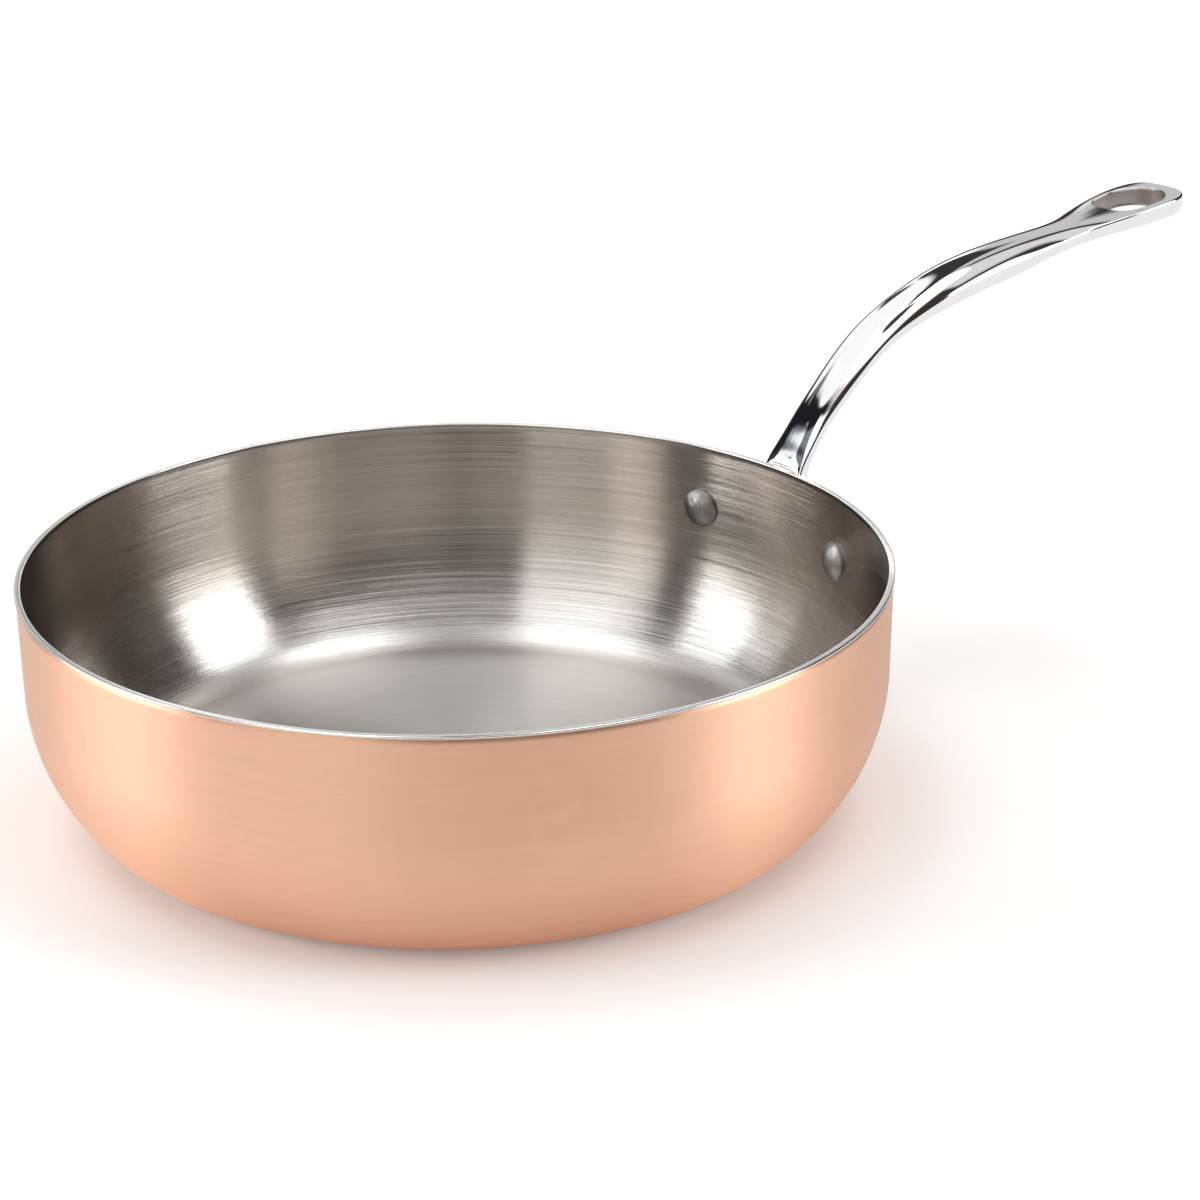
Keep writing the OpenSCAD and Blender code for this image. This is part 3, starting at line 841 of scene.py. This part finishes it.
def handle_patches(bowl, rivets, h):
    """The handle without its flange: the side, then for the top and the underside the shaft's rows
    from edge to edge and the tip's rings round the eye, then the eye's wall and the root's cap."""
    spine = HandleSpine(bowl, rivets, h)
    edge, normal = handle_edge(spine, h)
    # The lower corners take up 0.4 of the thickness, or of the half width where that is less.
    half_width = np.maximum(spine.at(edge[:, 0])[:, 2] / 2, 1e-6)
    corner = 0.4 * np.minimum(spine.thickness(edge[:, 0]), half_width)
    strip = side_strip(spine, edge, normal, edge_fillet(spine, edge, normal, h.edge_r, SIDE_STEPS),
                       corner)
    patches = [Patch(spine.place(*strip))]
    eye_x = h.reach - h.eye_end - (1 - EYE_WIDEST) * h.eye_l
    centre = np.array([spine.run_at(eye_x), 0.0])
    rows, tip = slice(0, SHAFT_ROWS + 1), slice(SHAFT_ROWS, len(edge) - SHAFT_ROWS)
    rings = []
    # The top comes first, because the eye's wall starts from the top's fillet round the eye.
    for column, top in ((0, True), (-1, False)):
        start = np.stack([strip[0][:, column], strip[1][:, column]], -1)
        rim = patches[0].points[:, column]
        shaft = spread(start[rows], start[::-1][rows], COLUMNS + 1).swapaxes(0, 1)
        points = spine.surface(shaft, top)
        points[:, 0], points[:, -1] = rim[rows], rim[::-1][rows]
        patches.append(Patch(points, flip=not top))
        outer = np.concatenate([start[tip], shaft[-1, ::-1][1:]])
        away = outer - centre
        bore = eye_loop(h, centre, np.unwrap(np.arctan2(away[:, 1], away[:, 0])))
        outward = -plan_normals(np.concatenate([bore[-2:-1], bore, bore[1:2]]))[1:-1]
        if top:
            fillet = edge_fillet(spine, bore, outward, h.edge_r, EYE_STEPS)
            inner = bore + fillet[0][:, :1] * outward
        else:
            wall = side_strip(spine, bore, outward, fillet, np.full(len(bore), h.edge_r))
            inner = np.stack([wall[0][:, -1], wall[1][:, -1]], -1)
        ring = spine.surface(spread(outer, inner, EYE_RINGS), top)
        ring[0] = np.concatenate([rim[tip], points[-1, ::-1][1:]])
        rings.append(ring)
    eye_wall = spine.place(*wall)
    rings[0][-1], rings[1][-1] = eye_wall[:, 0], eye_wall[:, -1]
    # The mask marks the eye's wall below its fillet: matt, and painted darker as shade inside the hole.
    cast = np.zeros(eye_wall.shape[:2])
    cast[:, EYE_STEPS:] = 1.0
    patches += [Patch(rings[0], flip=True), Patch(eye_wall, mask=cast), Patch(rings[1])]
    # A cap closes the root inside the flange.
    side, upper, under = (patch.points for patch in patches[:3])
    root = np.concatenate([upper[0], side[-1, 1:-1], under[0][::-1], side[0, 1:-1][::-1]])
    return patches + [Patch(spread(np.concatenate([root, root[:1]]), root.mean(0), 3))]


def flange_outline(shape, r, h):
    """Right half of the flange's outline as (distance round the wall, height): out along the bottom,
    round the ear, in along the web's top, up the hollow shoulder and the neck's side. Returns it with
    the point numbers of the bottom's end and of the web's start and end."""
    rivet_z = shape.b.pan_h - r.drop
    turn = math.asin(r.pitch / 2 / shape.wall_x(shape.total_t, rivet_z))
    ear = (shape.wall_x(0.0, rivet_z) * turn, rivet_z)
    low, web = rivet_z - h.ear_r, rivet_z + h.ear_r
    neck, top = h.neck_w / 2, shape.bead_z - h.gap
    hollow = (neck + h.shoulder_r, web + h.shoulder_r)
    runs = (line((0, low), (ear[0], low), 40), arc(ear, h.ear_r, -np.pi / 2, np.pi / 2, 44),
            line((ear[0], web), (hollow[0], web), 18), arc(hollow, h.shoulder_r, -np.pi / 2, -np.pi, 26),
            line((neck, hollow[1]), (neck, top), 3))
    return joined(*runs), np.cumsum([len(run) - 1 for run in runs[:3]])


def on_wall(shape, round_r, plan, depth):
    """Plan points (distance round the wall, height) put on the wall at a depth outside it: the radius
    is the wall's plus the depth, and the heading is the distance over the rivets' radius."""
    radius = shape.wall_x(0.0, plan[..., 1]) + depth
    heading = plan[..., 0] / round_r
    return np.stack([radius * np.cos(heading), radius * np.sin(heading), plan[..., 1]], -1)


def flange_patches(shape, r, h, ease=0.0010, across=60):
    """The flange as a closed slab on the wall: a band round its outline with a rounded outer edge, and
    two faces. A face's rows run from the left outline to the right: sideways they are the outline's
    distance times u, from -1 to 1, and their height goes from the outline's at the ends to a rising
    middle height by u squared."""
    half, corners = flange_outline(shape, r, h)
    normal = plan_normals(half)
    round_r = shape.wall_x(0.0, shape.b.pan_h - r.drop)
    a = np.linspace(0, np.pi / 2, 6)
    inset = np.concatenate([ease * (1 - np.sin(a)), np.zeros(3)])
    depth = np.concatenate([h.flange_t - ease * (1 - np.cos(a)),
                            np.linspace(h.flange_t - ease, FLANGE_GAP, 4)[1:]])
    u = np.linspace(-1, 1, across + 1)
    run = run_length(half) / run_length(half)[-1]
    low, web, top = half[0, 1], h.ear_r * 2 + half[0, 1], half[-1, 1]
    bottom_end, web_start, web_end = run[corners]
    knots = [0, bottom_end, (bottom_end + web_start) / 2, web_start, web_end, 1]
    band, faces = [], []
    for e, d in zip(inset, depth):
        side = half - e * normal
        upper = np.stack([side[-1, 0] * u[::-1], np.full(across + 1, top)], -1)
        plan = np.concatenate([side, upper[1:-1], side[::-1] * np.array([-1, 1])])
        band.append(on_wall(shape, round_r, plan, d))
    for row in (0, -1):
        side = half - inset[row] * normal
        # Where the rows' middles cross the flange's own middle, so that they stay evenly apart.
        middles = [side[0, 1], low + 0.0045, (low + web) / 2, web - 0.006, web - 0.0015, top]
        rise = u[None] ** 2
        height = side[:, 1:] * rise + np.interp(run, knots, middles)[:, None] * (1 - rise)
        faces.append(Patch(on_wall(shape, round_r, np.stack([side[:, :1] * u, height], -1), depth[row])))
    return [Patch(np.stack(band))] + faces


def clear_of_bowl(shape, gap, points):
    """Pushes points straight out from the pan's axis to just outside the wall and the rim bead."""
    r = np.hypot(points[..., 0], points[..., 1])
    z = points[..., 2]
    limit = np.where(z > shape.bead_z - gap, shape.b.rim_r + gap, shape.wall_x(0.0, z) + HANDLE_GAP)
    limit = np.where(z > shape.b.pan_h + gap, 0.0, limit)
    scale = np.maximum(limit, r) / r
    return points * np.stack([scale, scale, np.ones_like(scale)], -1)


class SAUTEPAN_OT_copper_skin(bpy.types.Operator):
    """Builds the satin copper skin"""
    bl_idname = "saute_pan.copper_skin"
    bl_label = "Copper skin"

    def execute(self, context):
        s = context.scene.saute_pan
        shape = BowlShape(s.bowl)
        outer = shape.face(0.0, shape.bead_z, long=56, wall=18)
        inner = shape.face(s.bowl.copper_t, shape.bead_z, **HIDDEN_ROWS)
        profile = joined(outer, inner[::-1])
        material = metal("satin copper", copper_finish, s.finishes)
        add_piece("copper_bowl", [turned_patch(profile)], material, "copper", "copper_skin")
        return {"FINISHED"}


class SAUTEPAN_OT_core(bpy.types.Operator):
    """Gives the sealed aluminium core its material"""
    bl_idname = "saute_pan.core"
    bl_label = "Aluminium core"

    def execute(self, context):
        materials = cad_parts["aluminium_core"].data.materials
        materials.clear()
        materials.append(metal("rolled aluminium", core_finish, context.scene.saute_pan.finishes))
        return {"FINISHED"}


class SAUTEPAN_OT_lining(bpy.types.Operator):
    """Builds the brushed steel lining and its rim bead"""
    bl_idname = "saute_pan.lining"
    bl_label = "Steel lining and bead"

    def execute(self, context):
        s = context.scene.saute_pan
        shape = BowlShape(s.bowl)
        inner = shape.face(shape.total_t, s.bowl.pan_h - s.bowl.bead_inner_r, flat=30, long=56, wall=20)
        bead = rounded_bead(shape)
        outer = shape.face(s.bowl.copper_t + s.bowl.core_t, shape.bead_z, **HIDDEN_ROWS)
        profile = joined(inner, bead, outer[::-1])
        mask = np.zeros(len(profile))
        mask[len(inner):len(inner) + len(bead) - 1] = 1.0
        material = metal("ring brushed steel", lining_finish, s.finishes)
        add_piece("steel_bowl", [turned_patch(profile, mask)], material, "lining", "steel_lining")
        return {"FINISHED"}


class SAUTEPAN_OT_rivets(bpy.types.Operator):
    """Builds both rivets"""
    bl_idname = "saute_pan.rivets"
    bl_label = "Rivets"

    def execute(self, context):
        s = context.scene.saute_pan
        shape = BowlShape(s.bowl)
        material = metal("matt rivet steel", rivet_finish, s.finishes)
        for side, name in ((1, "left"), (-1, "right")):
            patch = rivet_patch(shape, s.rivets, s.handle.flange_t, side)
            add_piece("rivet_head_" + name, [patch], material, "rivet", "rivet_" + name)
        return {"FINISHED"}


class SAUTEPAN_OT_handle(bpy.types.Operator):
    """Builds the cast handle with its hanging eye"""
    bl_idname = "saute_pan.handle"
    bl_label = "Handle"

    def execute(self, context):
        s = context.scene.saute_pan
        shape = BowlShape(s.bowl)
        patches = handle_patches(s.bowl, s.rivets, s.handle)
        for patch in patches:
            patch.points = clear_of_bowl(shape, s.handle.gap, patch.points)
        patches += flange_patches(shape, s.rivets, s.handle)
        material = metal("mirror polished steel", handle_finish, s.finishes)
        add_piece("cast_handle", patches, material, "handle", "handle")
        return {"FINISHED"}


class SAUTEPAN_OT_stage(bpy.types.Operator):
    """Sets up the floor, the soft studio light and the camera"""
    bl_idname = "saute_pan.stage"
    bl_label = "Studio"

    def execute(self, context):
        scene = context.scene
        scene.view_settings.view_transform = "Standard"
        add_floor()
        add_world(scene)
        add_camera(scene)
        return {"FINISHED"}


def add_floor(half=3.0, drop=0.0002):
    """A pale table under the pan. It shines a little by itself, more so to the camera than to mirrors."""
    mesh = bpy.data.meshes.new("floor")
    corners = [(x * half, y * half, 0) for x, y in ((-1, -1), (1, -1), (1, 1), (-1, 1))]
    mesh.from_pydata(corners, [], [(0, 1, 2, 3)])
    floor = linked(bpy.data.objects.new("floor", mesh))
    floor.location.z = -drop
    material, tree, shader = new_material("pale table")
    path = node(tree, "ShaderNodeLightPath").outputs
    seen = maths(tree, "MULTIPLY", path["Is Camera Ray"], 0.16)
    mirrored = maths(tree, "MULTIPLY", path["Is Glossy Ray"], 0.03)
    feed(tree, shader, {
        "Base Color": (0.86, 0.86, 0.86, 1), "Roughness": 0.9, "Specular IOR Level": 0.1,
        "Emission Color": (1, 1, 1, 1), "Emission Strength": maths(tree, "ADD", seen, mirrored)})
    mesh.materials.append(material)


def soft_panel(tree, heading, height, middle, half, foot, head, edge, lean):
    """Mask of a soft-edged panel on the sky. It falls off over the edge's width at both sides, measured
    in degrees of heading from the panel's middle the short way round, and at its foot and its head.
    Lean shifts the middle by that many degrees of heading for each degree of height."""
    def soft(distance):
        return maths(tree, "ADD", maths(tree, "DIVIDE", distance, edge), 0.5, clamp=True)

    rise = maths(tree, "SUBTRACT", height, foot)
    if lean:
        middle = maths(tree, "ADD", maths(tree, "MULTIPLY", rise, lean), middle)
    off = maths(tree, "WRAP", maths(tree, "SUBTRACT", heading, middle), 180.0, -180.0)
    inside = maths(tree, "SUBTRACT", half, maths(tree, "ABSOLUTE", off))
    below = maths(tree, "SUBTRACT", head, height)
    upright = maths(tree, "MULTIPLY", soft(rise), soft(below))
    return maths(tree, "MULTIPLY", soft(inside), upright)


def add_world(scene):
    """Soft studio light: a plain dark room with white and dark panels laid over it in turn. The camera
    sees plain white."""
    world = bpy.data.worlds.new("studio")
    world.use_nodes = True
    scene.world = world
    tree = world.node_tree
    direction = node(tree, "ShaderNodeTexCoord").outputs["Generated"]
    split = node(tree, "ShaderNodeSeparateXYZ", {"Vector": direction}).outputs
    turn = maths(tree, "ARCTAN2", split["Y"], split["X"])
    heading = maths(tree, "MULTIPLY", turn, math.degrees(1))
    height = maths(tree, "MULTIPLY", maths(tree, "ARCSINE", split["Z"]), math.degrees(1))
    light = ROOM_LIGHT
    for label, *panel, rgb in PANELS:
        light = mixed(tree, soft_panel(tree, heading, height, *panel), light, rgb, label=label)
    seen = node(tree, "ShaderNodeLightPath").outputs["Is Camera Ray"]
    feed(tree, tree.nodes["Background"], {"Color": mixed(tree, seen, light, (1, 1, 1)), "Strength": 1.0})


def add_camera(scene):
    """A camera 931 mm from the base's middle, turned 38.5 degrees from +Y towards +X and 21.6 down."""
    data = bpy.data.cameras.new("camera")
    data.sensor_width, data.lens = 36.0, 84.0
    data.clip_start, data.clip_end = 0.05, 20.0
    camera = linked(bpy.data.objects.new("camera", data))
    place, yaw, down, tilt = (-0.4878, -0.6867, 0.3977), -38.5, 21.585, -0.264
    turn = Matrix.Rotation(math.radians(yaw), 4, "Z") @ Matrix.Rotation(math.radians(90 - down), 4, "X")
    roll = Matrix.Rotation(math.radians(tilt), 4, "Z")
    camera.matrix_world = Matrix.Translation(place) @ turn @ roll
    scene.camera = camera


class SAUTEPAN_PT_sidebar(bpy.types.Panel):
    """Lists the pan's sizes, finishes and builders"""
    bl_idname = "SAUTEPAN_PT_sidebar"
    bl_label = "Saute pan"
    bl_space_type = "VIEW_3D"
    bl_region_type = "UI"
    bl_category = "Pan"

    def draw(self, context):
        settings = context.scene.saute_pan
        for group in (settings.bowl, settings.rivets, settings.handle, settings.finishes):
            box = self.layout.box()
            for name in group.bl_rna.properties.keys():
                if name not in ("rna_type", "name"):
                    box.prop(group, name)
        for operator in OPERATORS:
            self.layout.operator(operator.bl_idname)


OPERATORS = (SAUTEPAN_OT_stage, SAUTEPAN_OT_copper_skin, SAUTEPAN_OT_core, SAUTEPAN_OT_lining,
             SAUTEPAN_OT_rivets, SAUTEPAN_OT_handle)
CLASSES = (BowlSizes, RivetSizes, HandleSizes, Finishes, PanSettings) + OPERATORS + (SAUTEPAN_PT_sidebar,)


def register():
    for item in CLASSES:
        bpy.utils.register_class(item)
    bpy.types.Scene.saute_pan = bpy.props.PointerProperty(type=PanSettings)


def unregister():
    del bpy.types.Scene.saute_pan
    for item in reversed(CLASSES):
        bpy.utils.unregister_class(item)


def main():
    register()
    bpy.ops.saute_pan.stage()
    bpy.ops.saute_pan.copper_skin()
    bpy.ops.saute_pan.core()
    bpy.ops.saute_pan.lining()
    bpy.ops.saute_pan.rivets()
    bpy.ops.saute_pan.handle()


if __name__ == "__main__":
    main()
